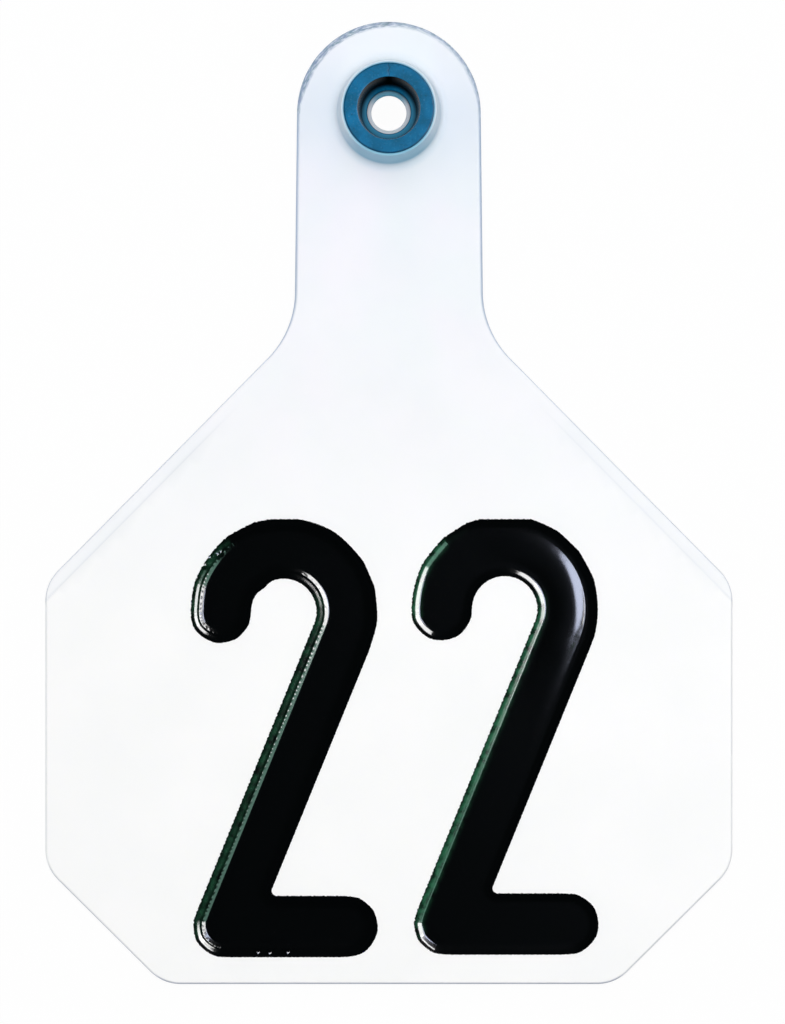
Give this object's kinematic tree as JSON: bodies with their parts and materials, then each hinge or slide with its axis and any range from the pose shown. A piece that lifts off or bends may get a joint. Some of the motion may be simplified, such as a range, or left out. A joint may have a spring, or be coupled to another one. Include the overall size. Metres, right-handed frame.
{
  "type": "livestock ear tag panel",
  "caption": "Flexible ear tag panel for cattle, with a locking collar in its neck that takes the stud of the rear button, and stamped herd numerals.",
  "frame": {"origin": "on the stud hole's axis, at the tag's flat back face", "axes": "+Z out of the printed front face along the stud hole's axis, +Y up the tag towards the round end of the neck, +X to the right of the printed face"},
  "size_m": [0.076, 0.1064, 0.006],
  "materials": {
    "panel": "satin",
    "collar": "semi-gloss",
    "numerals": "gloss"
  },
  "bodies": {
    "root": {"tag_panel": "panel", "locking_collar": "collar", "numeral_left": "numerals", "numeral_right": "numerals"}
  },
  "joints": []
}
